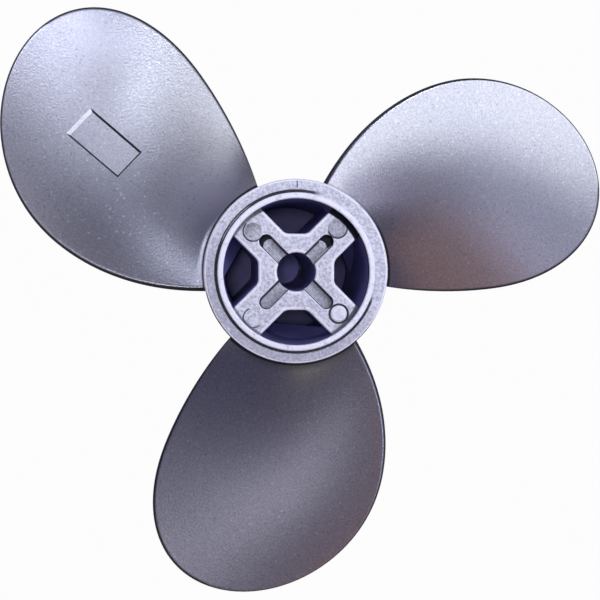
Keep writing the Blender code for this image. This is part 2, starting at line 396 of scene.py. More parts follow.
# %% Tools for the bore and the slots
BORE_SEGMENTS = 64
SLOT_SEGMENTS = 34
HOLE_SEGMENTS = 32
PIT_RADIUS = 1.75 * MM
FINE_EDGE_ROUND = 0.2 * MM
SLOT_DRAFT = 0.4 * MM
SLOT_FLOOR_SHIFT = (0.22 * MM, -0.36 * MM, 0)
SLOT_FLOOR_SHADE = 0.2


def cylinder(radius, low, high, segments):
    shape = bmesh.new()
    middle = Matrix.Translation((0, 0, (low + high) / 2))
    bmesh.ops.create_cone(shape, cap_ends=True, segments=segments, radius1=radius, radius2=radius,
                          depth=high - low, matrix=middle)
    return shape


def flared(radius, floor_radius, floor, mouth_round, segments):
    mouth = radius + mouth_round
    section = [(0, floor), (floor_radius, floor)]
    section += arc((mouth, FACE - mouth_round), mouth_round, 180, 90, 4)
    section += [(mouth, FRONT + TOOL_CLEAR), (0, FRONT + TOOL_CLEAR)]
    shape = turned(section, segments)
    # The rounded mouth gets a painted highlight as well as wear.
    tag(shape, "worn_and_highlit", lambda ring, height: FACE - mouth_round < height < FACE)
    return shape


# Painted shade: full on a slot's walls, a little on its floor, none on the rounded mouth.
def slot_shade(ring, height):
    if height > FACE - FINE_EDGE_ROUND:
        return 0
    return 1 if height > FACE - SLOT_DROP + MERGE else SLOT_FLOOR_SHADE


def slot(degrees):
    half = SLOT_WIDTH / 2
    shape = flared(half, half - SLOT_DRAFT, FACE - SLOT_DROP, FINE_EDGE_ROUND, SLOT_SEGMENTS)
    for side in (1, -1):
        end = [vert for vert in shape.verts if vert.co.x * side > MERGE]
        bmesh.ops.translate(shape, verts=end, vec=(side * SLOT_END_CENTRE, 0, 0))
    swing = Matrix.Rotation(math.radians(degrees), 3, "Z")
    bmesh.ops.rotate(shape, verts=shape.verts, cent=(0, 0, 0), matrix=swing)
    floor = [vert for vert in shape.verts if vert.co.z < FACE - SLOT_DROP + MERGE]
    bmesh.ops.translate(shape, verts=floor, vec=SLOT_FLOOR_SHIFT)
    tag(shape, "painted_shade", slot_shade)
    return shape


def round_block(low, high, inset, degrees):
    shape = cylinder(PIT_RADIUS, low, high, HOLE_SEGMENTS)
    bmesh.ops.translate(shape, verts=shape.verts, vec=polar(SLOT_END_CENTRE - inset, degrees))
    # The block's lower faces get painted shade; in a pit they make the black crescent.
    tag(shape, "painted_shade", lambda ring, height: height < high - MERGE)
    return shape


print(f"slots {SLOT_WIDTH / MM:.1f} mm wide, {2 * SLOT_REACH / MM:.1f} mm from end to end")

# %% Cut the bore and the slots
PIT_TOP_DROP = 1 * MM
PIT_DROP = 5.2 * MM
TONGUE_SINK = 0.3 * MM
TONGUE_STEP = 0.02 * MM
TONGUE_INSETS = {45: 2.0 * MM, 135: 1.6 * MM}

bore = flared(BORE_RADIUS, BORE_RADIUS, BORE_FLOOR, EDGE_ROUND, BORE_SEGMENTS)
cut_or_join(casting, as_object("bore", bore), "DIFFERENCE")
for degrees, inset in TONGUE_INSETS.items():
    cut_or_join(casting, as_object("slot", slot(degrees)), "DIFFERENCE")
    pit = round_block(FACE - PIT_DROP, FACE - PIT_TOP_DROP, 0, degrees)
    cut_or_join(casting, as_object("pit", pit), "DIFFERENCE")
    tongue = round_block(FACE - PIT_DROP - TONGUE_SINK, FACE - SLOT_DROP - TONGUE_STEP, inset, degrees)
    cut_or_join(casting, as_object("tongue", tongue), "UNION")
print("after bore and slots:", len(casting.data.polygons))

# %% [markdown]
# ## Ejector marks
# Pins push the casting out of its mould and leave a round mark on each arm. No two are alike: the
# upper right one is a disc with a raised rim, the upper left one a dish, the lower right one a
# proud disc inside a sharp ring, painted bright as a highlight, and the lower left one is nearly
# flush. Each is a small turned shape, given as shares of the pin's radius and heights in
# millimetres. Grooves with painted shade outline them, and the marks carry some painted shade
# too. Three of the grooves are tilted, so they are deep on one side and run out on the other. A
# row of MARKS gives the distance and angle from the shaft, the profile, the Boolean, the deep side
# of a groove or the side of the dish with more painted shade in degrees, and how much painted
# shade there is.

# %% Cut and add the four ejector marks
MARK_RADIUS = 2.4 * MM
MARK_SEGMENTS = 40
PROUD_RIM = [(0, 0.10), (0.60, 0.12), (0.82, 0.34), (0.96, 0.26), (1.0, -0.4), (0, -0.4)]
DISH = [(0, -0.45), (0.5, -0.42), (0.85, -0.22), (1.02, 0.5), (0, 0.5)]
SHARP_RING = [(0.90, -0.60), (1.10, -0.55), (1.14, 0.5), (0.88, 0.5), (0.90, -0.60)]
PROUD_DISC = [(0, 0.30), (0.72, 0.28), (0.86, 0.12), (0.89, -0.7), (0, -0.7)]
SHALLOW_RING = [(0.97, -0.05), (1.12, -0.05), (1.16, 0.5), (0.95, 0.5), (0.97, -0.05)]
MARKS = [
    (15.4 * MM, 47, PROUD_RIM, "UNION", 0, 0.3),
    (15.4 * MM, 47, SHALLOW_RING, "DIFFERENCE", -60, 0.8),
    (15.2 * MM, 137, DISH, "DIFFERENCE", 150, 0.3),
    (15.2 * MM, 137, SHALLOW_RING, "DIFFERENCE", -130, 0.8),
    (15.4 * MM, -44.5, SHARP_RING, "DIFFERENCE", 0, 0.8),
    (15.4 * MM, -44.5, PROUD_DISC, "UNION", 0, 0),
    (16.2 * MM, -133.5, SHALLOW_RING, "DIFFERENCE", -150, 0.7),
]
RING_TILT = math.radians(6)
DISC_WEAR_AND_HIGHLIGHT = 0.7


def mark(profile, deep_side, shade_share):
    shape = turned([(share * MARK_RADIUS, height * MM) for share, height in profile], MARK_SEGMENTS)
    # Each mark's faces get their share of painted shade.
    tag(shape, "painted_shade", lambda ring, height: shade_share)
    if profile is PROUD_DISC:
        # The proud disc gets a painted highlight as well as wear.
        tag(shape, "worn_and_highlit", lambda ring, height: DISC_WEAR_AND_HIGHLIGHT)
    if profile is DISH:
        # Painted shade, more on one side of the dish than on the other.
        painted_shade = shape.faces.layers.float["painted_shade"]
        for face in shape.faces:
            face[painted_shade] *= 1 + face.calc_center_median() @ polar(1, deep_side) / MARK_RADIUS
    if profile is SHALLOW_RING:
        lean = Matrix.Rotation(RING_TILT, 3, polar(1, deep_side + 90))
        bmesh.ops.rotate(shape, verts=shape.verts, cent=(0, 0, 0), matrix=lean)
    return shape


for distance, degrees, profile, operation, deep_side, shade_share in MARKS:
    shape = mark(profile, deep_side, shade_share)
    bmesh.ops.translate(shape, verts=shape.verts, vec=polar(distance, degrees) + Vector((0, 0, FACE)))
    cut_or_join(casting, as_object("mark", shape), operation)
print("after ejector marks:", len(casting.data.polygons))

# %% [markdown]
# ## One blade
# A blade is a screw surface with a thickness. `blade_point` turns two numbers, the radius and the
# share of the width, into a place: it swings round the shaft by skew and width, climbs by the pitch,
# and steps off the surface by half the thickness. Two grids make the two faces, and they meet
# along the round edge. Near the hub the thickness flares into a fillet, and the trailing edge runs
# in towards the middle. The finish needs two things from the mesh. Every face corner remembers how
# close to the edge it is, as the attribute `rim`, which reaches further in on the trailing side, and
# every face on the side towards the open hub end carries the attribute `front`.


# %% The blade's shape as a formula
def outer_share(radius):
    return (radius - WIDEST_RADIUS) / (TIP_RADIUS - WIDEST_RADIUS)


def half_width(radius):
    if radius <= WIDEST_RADIUS:
        inward = (WIDEST_RADIUS - radius) / WIDEST_RADIUS
        return WIDEST_HALF_WIDTH * (1 - INNER_TAPER * inward ** INNER_POWER)
    return WIDEST_HALF_WIDTH * math.sqrt(max(1 - outer_share(radius) ** OUTER_POWER, 0))


def share_out(radius):
    return (radius - HUB_RADIUS) / (TIP_RADIUS - HUB_RADIUS)


def skew(radius):
    out = share_out(radius)
    start, linear, square = SKEW_DEGREES
    return math.radians(start + linear * out + square * out * abs(out))


def flare(radius, fillet):
    reach = min(max(1 - (radius - BODY_RADIUS) / fillet, 0), 1)
    return fillet * (1 - math.sqrt(1 - reach ** 2))


def trailing_cut(radius):
    return TRAILING_CUT * max(1 - radius / TRAILING_CUT_END, 0) ** 2


def edge_closeness(radius, across):
    outward = max(outer_share(radius), 0) ** OUTER_POWER
    return math.sqrt(min(outward + across ** 2 * (1 - outward), 1))


def half_thickness(radius, across):
    near = edge_closeness(radius, across)
    full = (ROOT_THICKNESS + (TIP_THICKNESS - ROOT_THICKNESS) * max(share_out(radius), 0)) / 2
    rim = EDGE_HALF_THICKNESS / WIDEST_HALF_WIDTH
    into_rim = max((near - 1 + rim) / rim, 0)
    edge = EDGE_HALF_THICKNESS * math.sqrt(max(1 - into_rim ** 2, 0))
    return edge + (full - EDGE_HALF_THICKNESS + flare(radius, ROOT_FILLET)) * (1 - near ** 2)


def blade_point(radius, across, side):
    leading = half_width(radius) + flare(radius, LEADING_FILLET)
    trailing = half_width(radius) + flare(radius, TRAILING_FILLET) - trailing_cut(radius)
    angle = skew(radius) + ((1 + across) * leading - (1 - across) * trailing) / 2 / radius
    lead = PITCH / math.tau
    height = FRONT - SET_BACK + lead * angle + FORWARD_RAKE * (radius - HUB_RADIUS)
    outwards = Vector((math.cos(angle), math.sin(angle), FORWARD_RAKE))
    round_shaft = Vector((-math.sin(angle), math.cos(angle), lead / radius))
    normal = outwards.cross(round_shaft).normalized()
    middle = Vector((radius * math.cos(angle), radius * math.sin(angle), height))
    return middle + normal * half_thickness(radius, across) * side


print("a blade's tip lies at", in_mm(blade_point(TIP_RADIUS, 0, 1)), "mm before it is turned")

# %% Build the three blades and join them
RADIAL_STEPS = (10, 34, 34)
CHORD_STEPS = 64
TRAILING_RIM_GAIN = 0.45


def radial_stations():
    fillet, inner, outer = RADIAL_STEPS
    start = BODY_RADIUS + TRAILING_FILLET
    stations = [ROOT_RADIUS]
    stations += [BODY_RADIUS + TRAILING_FILLET * (step / fillet) ** 2 for step in range(fillet)]
    stations += [start + (WIDEST_RADIUS - start) * step / inner for step in range(inner)]
    stations += [WIDEST_RADIUS + (TIP_RADIUS - WIDEST_RADIUS) * math.sin(math.pi / 2 * step / outer)
                 for step in range(outer + 1)]
    return stations


def blade(angle):
    stations = radial_stations()
    last = len(stations) - 1
    shape = bmesh.new()
    closeness = {}
    front = shape.faces.layers.float.new("front")
    for side in (1, -1):
        grid = bmesh.ops.create_grid(shape, x_segments=last, y_segments=CHORD_STEPS, size=1)
        for vert in grid["verts"]:
            radius = stations[round((vert.co.x + 1) / 2 * last)]
            across = math.sin(vert.co.y * math.pi / 2)
            vert.co = blade_point(radius, across, side)
            for face in vert.link_faces:
                face[front] = float(side > 0)
            narrower = 1 - TRAILING_RIM_GAIN * smooth(-2 * across)
            closeness[vert] = 1 - (1 - edge_closeness(radius, across)) * narrower
    rim = shape.loops.layers.float.new("rim")
    for face in shape.faces:
        for loop in face.loops:
            loop[rim] = closeness[loop.vert]
    bmesh.ops.remove_doubles(shape, verts=shape.verts, dist=MERGE)
    open_edges = [edge for edge in shape.edges if edge.is_boundary]
    bmesh.ops.contextual_create(shape, geom=open_edges)
    bmesh.ops.rotate(shape, verts=shape.verts, cent=(0, 0, 0), matrix=Matrix.Rotation(angle, 3, "Z"))
    return shape


for angle in BLADE_ANGLES:
    cut_or_join(casting, as_object("blade", blade(angle)), "UNION")
print("with blades:", len(casting.data.polygons))

# %% [markdown]
# ## The framed panel
# One blade carries a sunk rectangular panel whose outer short side is a wide slope. It is left
# bare here. The tool that cuts it is a flat grid whose points are dropped on the blade, so the panel
# keeps the same depth although the blade twists under it. Extruded upwards, the grid grows on
# each side and so gives the walls their slant, a little more on the upper long side. The three
# steep walls carry painted shade, through an attribute on their faces.

# %% Cut the sunk panel
PANEL_CENTRE = Vector((-49.7 * MM, 33.6 * MM, 0))
PANEL_TURN = math.radians(139.4)
PANEL_STEPS = (18, 10)
PANEL_LENGTH = 17.3 * MM
PANEL_WIDTH = 9.3 * MM
PANEL_DEPTH = 0.5 * MM
PANEL_SLOPE = 0.95 * MM
PANEL_DRAFT = 0.4 * MM
PANEL_UPPER_DRAFT = 0.6 * MM
PANEL_CLEAR = 1.0 * MM


def panel_spot(along, across, lift):
    """A point of the panel's tool: shares of its length and width, and the height over the blade."""
    share = lift / PANEL_DEPTH
    end = PANEL_SLOPE if along > 0 else PANEL_DRAFT
    side = PANEL_DRAFT if across > 0 else PANEL_UPPER_DRAFT
    half_length = PANEL_LENGTH / 2 + end * share
    half_breadth = PANEL_WIDTH / 2 + side * share
    flat = Vector((along * half_length, across * half_breadth, 0))
    spot = PANEL_CENTRE + Matrix.Rotation(PANEL_TURN, 3, "Z") @ flat
    _, ground, _, _ = casting.ray_cast(spot + Vector((0, 0, 2 * FRONT)), Vector((0, 0, -1)))
    return ground + Vector((0, 0, lift))


def panel_tool():
    shape = bmesh.new()
    bmesh.ops.create_grid(shape, x_segments=PANEL_STEPS[0], y_segments=PANEL_STEPS[1], size=1)
    floor = shape.verts[:]
    grown = bmesh.ops.extrude_face_region(shape, geom=shape.faces[:])["geom"]
    top = [part for part in grown if isinstance(part, bmesh.types.BMVert)]
    # Painted shade on the three steep walls, none on the wide slope.
    painted_shade = shape.faces.layers.float.new("painted_shade")
    for face in shape.faces:
        is_wall = len({vert in top for vert in face.verts}) == 2
        face[painted_shade] = float(is_wall and face.calc_center_median().x < 1 - MERGE)
    for verts, lift in ((floor, -PANEL_DEPTH), (top, PANEL_CLEAR)):
        for vert in verts:
            along, across = (math.sin(value * math.pi / 2) for value in vert.co.xy)
            vert.co = panel_spot(along, across, lift)
    return shape


cut_or_join(casting, as_object("panel", panel_tool()), "DIFFERENCE")
print("with the panel:", len(casting.data.polygons))

# %% [markdown]
# ## The cotter hole
# A small cross hole goes through the tail, for the pin that keeps the propeller on its shaft.

# %% Drill the tail
DRILL_REACH = HUB_RADIUS + TOOL_CLEAR
cotter = cylinder(COTTER_RADIUS, -DRILL_REACH, DRILL_REACH, HOLE_SEGMENTS)
across_tail = Matrix.Translation((0, 0, COTTER_HEIGHT)) @ Matrix.Rotation(math.pi / 2, 4, "Y")
bmesh.ops.transform(cotter, verts=cotter.verts, matrix=across_tail)
cut_or_join(casting, as_object("cotter", cotter), "DIFFERENCE")
print("faces in the casting:", len(casting.data.polygons))

# %% [markdown]
# ## Smooth shading, with flat faces kept flat
# Smooth shading averages the normals at each corner, which is right on the blades and the round
# corners. The spider's face is truly flat and has only a few long triangles, so it is left out.

# %% Set the shading
SHARP_ANGLE = math.radians(26)
LEVEL = 0.9999
casting.data.shade_smooth()
casting.data.set_sharp_from_angle(angle=SHARP_ANGLE)
for polygon in casting.data.polygons:
    polygon.use_smooth = abs(polygon.normal.z) < LEVEL
print("flat faces:", sum(not polygon.use_smooth for polygon in casting.data.polygons))

# %% [markdown]
# ## Writing shader nodes in a few lines
# A material is a small program of nodes. `put` places one node, sets its options, and fills its
# sockets: a socket given as a value becomes a link, anything else is set on the socket itself. The
# other helpers are single steps with plain names, such as the product of some masks.


# %% Helpers for nodes
def fill(tree, node, sockets):
    for name, value in sockets.items():
        if isinstance(value, bpy.types.NodeSocket):
            tree.links.new(value, node.inputs[name])
        else:
            node.inputs[name].default_value = value
    return node


def put(tree, kind, sockets, **options):
    node = tree.nodes.new("ShaderNode" + kind)
    for name, value in options.items():
        setattr(node, name, value)
    return fill(tree, node, sockets)


def reckon(tree, operation, *values):
    return put(tree, "Math", dict(enumerate(values)), operation=operation).outputs[0]


def vectors(tree, operation, *values):
    """One step with vectors. A length or a dot product comes out as a number."""
    node = put(tree, "VectorMath", dict(enumerate(values)), operation=operation)
    return node.outputs["Value" if operation in ("LENGTH", "DOT_PRODUCT") else "Vector"]


def product(tree, first, *others):
    for other in others:
        first = reckon(tree, "MULTIPLY", first, other)
    return first


def largest(tree, first, *others):
    for other in others:
        first = reckon(tree, "MAXIMUM", first, other)
    return first


def soft_step(tree, value, low, high):
    """0 at the low value, 1 at the high one, and a soft rise between them. Low may be above high."""
    sockets = {"Value": value, "From Min": low, "From Max": high}
    return put(tree, "MapRange", sockets, interpolation_type="SMOOTHSTEP").outputs["Result"]


def spread(tree, value, low, high):
    """A mask from 0 to 1 as a value from low to high."""
    return put(tree, "MapRange", {"Value": value, "To Min": low, "To Max": high}).outputs["Result"]


def tint(tree, share, first, second):
    """A colour between two colours."""
    return put(tree, "Mix", {0: share, 6: first, 7: second}, data_type="RGBA").outputs[2]


def lay(tree, colour, shade, *masks):
    """A shade laid over a colour where all the masks allow it."""
    return tint(tree, product(tree, *masks), colour, shade)


# %% Helpers for node groups
def new_group(name, inputs, outputs):
    """An empty node group. Inputs and outputs are given as a name and a kind of socket."""
    group = bpy.data.node_groups.new(name, "ShaderNodeTree")
    for label, kind in inputs:
        group.interface.new_socket(name=label, in_out="INPUT", socket_type="NodeSocket" + kind)
    for label, kind in outputs:
        group.interface.new_socket(name=label, in_out="OUTPUT", socket_type="NodeSocket" + kind)
    given = group.nodes.new("NodeGroupInput").outputs
    wanted = group.nodes.new("NodeGroupOutput").inputs
    return group, given, wanted


def use(tree, group, sockets):
    node = tree.nodes.new("ShaderNodeGroup")
    node.node_tree = group
    return fill(tree, node, sockets).outputs


# %% [markdown]
# ## Cast grain
# A die casting's skin is finely pebbled. The pebbles are about half a millimetre across on the blades
# and coarser on the hub. Two noises do it: small cells for the pebbles and a slower noise that
# makes some places rougher than others. The group gives a height for bump, a slow tone, and a
# mottle, which is the pebbles' own pattern with more contrast, for colour.

# %% Group: cast grain
cast_grain, given, wanted = new_group(
    "cast_grain", [("Vector", "Vector"), ("Fineness", "Float")],
    [("Height", "Float"), ("Tone", "Float"), ("Mottle", "Float")])
pebbles = put(cast_grain, "TexNoise", {"Vector": given["Vector"], "Scale": given["Fineness"],
                                       "Detail": 2.0, "Roughness": 0.5})
slower = reckon(cast_grain, "MULTIPLY", given["Fineness"], 0.4)
patches = put(cast_grain, "TexNoise", {"Vector": given["Vector"], "Scale": slower, "Detail": 2.0})
uneven = soft_step(cast_grain, patches.outputs[0], 0.1, 0.9)
mottled = soft_step(cast_grain, pebbles.outputs[0], 0.35, 0.65)
strength = reckon(cast_grain, "MULTIPLY_ADD", uneven, 0.5, 0.5)
centred = reckon(cast_grain, "SUBTRACT", pebbles.outputs[0], 0.5)
cast_grain.links.new(product(cast_grain, centred, strength), wanted["Height"])
cast_grain.links.new(uneven, wanted["Tone"])
cast_grain.links.new(mottled, wanted["Mottle"])
print("cast grain nodes:", len(cast_grain.nodes))

# %% [markdown]
# ## Painted glints and dark specks
# Bright spots are painted glints, where single metal crystals would flash in the light, and other
# spots are small dark specks. Voronoi cells scatter them: each cell has its own random colour, and
# only cells over a limit get a spot round their middle.

# %% Group: painted glints and dark specks
SPOT_SIZE = 0.55
glint_and_speck_spots, given, wanted = new_group(
    "glints_and_dark_specks", [("Vector", "Vector"), ("Fineness", "Float"), ("Rarity", "Float")],
    [("Bright", "Float"), ("Dark", "Float")])
cells = put(glint_and_speck_spots, "TexVoronoi", {"Vector": given["Vector"], "Scale": given["Fineness"]})
off_middle = soft_step(glint_and_speck_spots, cells.outputs["Distance"], 0.0, SPOT_SIZE)
spot = reckon(glint_and_speck_spots, "SUBTRACT", 1.0, off_middle)
chance = put(glint_and_speck_spots, "SeparateColor", {0: cells.outputs["Color"]})
limit = reckon(glint_and_speck_spots, "ADD", given["Rarity"], 0.1)
for name, draw in (("Bright", "Red"), ("Dark", "Green")):
    sockets = {"Value": chance.outputs[draw], "From Min": given["Rarity"], "From Max": limit}
    chosen = put(glint_and_speck_spots, "MapRange", sockets).outputs["Result"]
    glint_and_speck_spots.links.new(product(glint_and_speck_spots, spot, chosen), wanted[name])
print("crystal nodes:", len(glint_and_speck_spots.nodes))

# %% [markdown]
# ## Edge wear and painted highlight
# Edges are rubbed bright and get a painted highlight, but never evenly. The group takes a mask of
# the edges from the mesh and breaks it up with noise.

# %% Group: edge wear and painted highlight
edge_wear_and_highlight, given, wanted = new_group(
    "edge_wear_and_highlight", [("Vector", "Vector"), ("Edge", "Float"), ("Fineness", "Float")], [("Mask", "Float")])
rub = put(edge_wear_and_highlight, "TexNoise", {"Vector": given["Vector"], "Scale": given["Fineness"], "Detail": 2.0})
rubbed = soft_step(edge_wear_and_highlight, rub.outputs[0], 0.2, 0.45)
edge_wear_and_highlight.links.new(product(edge_wear_and_highlight, rubbed, given["Edge"]), wanted["Mask"])
print("edge wear nodes:", len(edge_wear_and_highlight.nodes))

# %% [markdown]
# ## Painted shade and light on one blade
# Some places of the skin are painted darker, as painted shade, and others paler, as painted light.
# One group gives a soft round patch about a centre, seen along the shaft. A row of the table below
# gives a patch's centre, its radius, how strong it is, and its colour. All four lie on the front of
# the upper left blade.

# %% Group: soft patch
soft_patch, given, wanted = new_group(
    "soft_patch", [("Vector", "Vector"), ("Centre", "Vector"), ("Radius", "Float")], [("Mask", "Float")])
apart = vectors(soft_patch, "SUBTRACT", given["Vector"], given["Centre"])
apart = vectors(soft_patch, "LENGTH", vectors(soft_patch, "MULTIPLY", apart, (1, 1, 0)))
soft_patch.links.new(soft_step(soft_patch, apart, given["Radius"], 0.0), wanted["Mask"])
# Colours of painted shade and painted light for the patches.
SHADE_TONE = (0.10, 0.10, 0.12, 1)
LIGHT_TONE = (0.90, 0.90, 0.94, 1)
PAINTED_PATCHES = [
    ((-46 * MM, 15 * MM, 0), 27 * MM, 0.55, SHADE_TONE),
    ((-25 * MM, 2 * MM, 0), 13 * MM, 0.6, SHADE_TONE),
    ((-20 * MM, 20 * MM, 0), 17 * MM, 0.7, LIGHT_TONE),
    ((-50 * MM, 62 * MM, 0), 13 * MM, 0.25, LIGHT_TONE),
]
print("soft patch nodes:", len(soft_patch.nodes))

# %% [markdown]
# ## Masks for the finishes
# The materials start alike and read their masks from two sources: attributes of the mesh, and the
# place on the object. The radius, the height and the side come from Object coordinates, so a mask
# stays where it is when the camera moves.


# %% Helpers for masks
def start_material(name):
    material = bpy.data.materials.new(name)
    material.use_nodes = True
    tree = material.node_tree
    return material, tree, tree.nodes["Principled BSDF"], put(tree, "TexCoord", {}).outputs["Object"]


def read_mask(tree, name):
    return put(tree, "Attribute", {}, attribute_name=name).outputs["Fac"]


def bumpy(tree, height, strength, depth):
    return put(tree, "Bump", {"Height": height, "Strength": strength, "Distance": depth}).outputs[0]


def ring_and_height(tree, where):
    ring = vectors(tree, "LENGTH", vectors(tree, "MULTIPLY", where, (1, 1, 0)))
    return ring, put(tree, "SeparateXYZ", {0: where}).outputs["Z"]


def toward(tree, where, direction, low, high):
    """A soft mask of one side of the hub, from the cosine to a direction in the plane."""
    ring, _ = ring_and_height(tree, where)
    facing = vectors(tree, "DOT_PRODUCT", where, direction)
    return soft_step(tree, reckon(tree, "DIVIDE", facing, ring), low, high)


# %% [markdown]
# ## The satin skin of the blades
# Bare aluminium is a metal: its colour is in its reflection, so Metallic is 1 and the colour is a
# pale grey with a touch of lavender. Satin means a middling roughness. The grain feeds the bump, and
# single spots get a painted glint, others a dark speck. The blades' rims are painted dark, as shade,
# and are rougher, and a line of painted shadow runs round the hub in the corner of each blade's
# root. It follows the hub's side down, so the ring it is measured from leans a little and grows with
# the depth. It is weaker on the upper right and fades out softly on the lower right, and the
# attribute `front` keeps it off the rest.

# %% Painted shadow along the roots
ROOT_SHADOW_LEAN = (-0.1, 0.0324, 0)
ROOT_SHADOW_GROWTH = 0.13
ROOT_SHADOW_FULL = 23.8 * MM
ROOT_SHADOW_END = 24.3 * MM
ROOT_FADE_END = 26.2 * MM
WEAKER_SIDE = (0.574, 0.819, 0)
WEAKER_BY = 0.7
FADED_SIDE = (0.3, -0.954, 0)
FADE_STRENGTH = 0.6


# Painted shadow in the corner of each blade's root.
def root_shadow(tree, where):
    _, height = ring_and_height(tree, where)
    below_band = reckon(tree, "SUBTRACT", BAND, height)
    lean = {0: ROOT_SHADOW_LEAN, "Scale": below_band}
    shift = put(tree, "VectorMath", lean, operation="SCALE").outputs["Vector"]
    ring, _ = ring_and_height(tree, vectors(tree, "ADD", where, shift))
    reach = reckon(tree, "MULTIPLY_ADD", below_band, -ROOT_SHADOW_GROWTH, ring)
    weaker = toward(tree, where, WEAKER_SIDE, 0.85, 0.97)
    weaker = reckon(tree, "MULTIPLY_ADD", weaker, -WEAKER_BY, 1.0)
    line = product(tree, soft_step(tree, reach, ROOT_SHADOW_END, ROOT_SHADOW_FULL), weaker)
    fade = product(tree, soft_step(tree, reach, ROOT_FADE_END, ROOT_SHADOW_FULL), FADE_STRENGTH,
                   toward(tree, where, FADED_SIDE, 0.5, 0.9))
    return product(tree, largest(tree, line, fade), read_mask(tree, "front"))


# The line printed below is the painted shadow line.
print(f"the dirt line ends {(ROOT_SHADOW_END - HUB_RADIUS) / MM:.1f} mm outside the hub")

# %% Material: blade skin
SKIN_GRAIN = ((0.385, 0.385, 0.40, 1), (0.48, 0.48, 0.48, 1))
SKIN_FLASH = (0.80, 0.80, 0.84, 1)
SKIN_PIT = (0.15, 0.15, 0.20, 1)
SKIN_SHADE = (0.06, 0.06, 0.075, 1)
SKIN_ROUGHNESS = 0.28
RIM_START = 0.976
RIM_FULL = 0.990


def blade_skin():
    material, tree, shader, where = start_material("satin_blade_skin")
    grain = use(tree, cast_grain, {"Vector": where, "Fineness": 2000.0})
    specks = use(tree, glint_and_speck_spots, {"Vector": where, "Fineness": 1150.0, "Rarity": 0.84})
    colour = tint(tree, grain["Mottle"], *SKIN_GRAIN)
    # Painted shade and painted light in soft patches on the front.
    for centre, radius, share, shade in PAINTED_PATCHES:
        patch = use(tree, soft_patch, {"Vector": where, "Centre": centre, "Radius": radius})["Mask"]
        colour = lay(tree, colour, shade, patch, read_mask(tree, "front"), share)
    # Painted glints in single spots.
    colour = lay(tree, colour, SKIN_FLASH, specks["Bright"], 0.45)
    colour = lay(tree, colour, SKIN_PIT, specks["Dark"], 0.5)
    # The rims are painted dark, as shade.
    rim = soft_step(tree, read_mask(tree, "rim"), RIM_START, RIM_FULL)
    # Painted shade from the rims, the marked recesses and the roots darkens and roughens the skin.
    dull = largest(tree, rim, read_mask(tree, "painted_shade"), root_shadow(tree, where))
    colour = lay(tree, colour, SKIN_SHADE, dull)
    rough = reckon(tree, "MULTIPLY_ADD", dull, 0.2, SKIN_ROUGHNESS)
    bump = bumpy(tree, grain["Height"], 0.4, 0.09 * MM)
    fill(tree, shader, {"Base Color": colour, "Metallic": 1.0, "Roughness": rough, "Normal": bump})
    return material


skin_material = blade_skin()
print("blade skin nodes:", len(skin_material.node_tree.nodes))

# %% [markdown]
# ## The rough face of the hub
# The band and the spider were trimmed and tumbled, so they are brighter and coarser. They scatter
# light in all directions, which a lower Metallic gives. Painted shade is black and matt. It lies in
# the groove, in the corner under the lip, most of it on the upper right, and on the band's lower rim.
# The spider's face has a painted highlight, a bright strip inside its outline, and the band has
# painted shade on its lower left.

# %% Painted shade on the hub's face
UPPER_RIGHT = (0.707, 0.707, 0)
UNDER_THE_HUB = (-0.174, -0.985, 0)
GROOVE_SHADE = 0.85
BAND_START = 20.9 * MM
BAND_FULL_START = 21.1 * MM
GROOVE_SHADE_END = 21.3 * MM
CORNER_SHADE_NARROW = 17.9 * MM
CORNER_SHADE_WIDE = 16.95 * MM


# Painted shade in the groove, in the corner under the lip and on the band's lower rim.
def hub_painted_shade(tree, where):
    ring, height = ring_and_height(tree, where)
    groove = product(tree, soft_step(tree, ring, LIP_OUTER_RADIUS - 0.2 * MM, LIP_OUTER_RADIUS),
                     soft_step(tree, ring, GROOVE_SHADE_END, BAND_FULL_START),
                     soft_step(tree, height, BAND - 0.05 * MM, BAND - 0.35 * MM), GROOVE_SHADE)
    amount = toward(tree, where, UPPER_RIGHT, -0.4, 0.85)
    shaded_from = spread(tree, amount, CORNER_SHADE_NARROW, CORNER_SHADE_WIDE)
    corner = product(tree, soft_step(tree, reckon(tree, "SUBTRACT", ring, shaded_from), 0.0, 0.4 * MM),
                     soft_step(tree, height, FRONT - 0.3 * MM, FRONT - 0.8 * MM),
                     soft_step(tree, ring, CAVITY_RADIUS + 0.2 * MM, CAVITY_RADIUS + 0.05 * MM),
                     spread(tree, amount, 0.6, 1.0))
    outline = product(tree, soft_step(tree, ring, HUB_RADIUS - 0.4 * MM, HUB_RADIUS - 0.15 * MM),
                      toward(tree, where, UNDER_THE_HUB, 0.3, 0.5))
    return largest(tree, groove, corner, outline)


print(f"groove {(GROOVE_OUTER_RADIUS - LIP_OUTER_RADIUS) / MM:.2f} mm wide")

# %% Painted highlight and painted shade on the hub's face
LOWER_RIGHT = (0.707, -0.707, 0)
LOWER_LEFT = (-0.5, -0.866, 0)
RIM_STRIP = 1.0 * MM
STRIP_START = 17.6 * MM
STRIP_END = 18.2 * MM
BAND_SHADE = 0.45


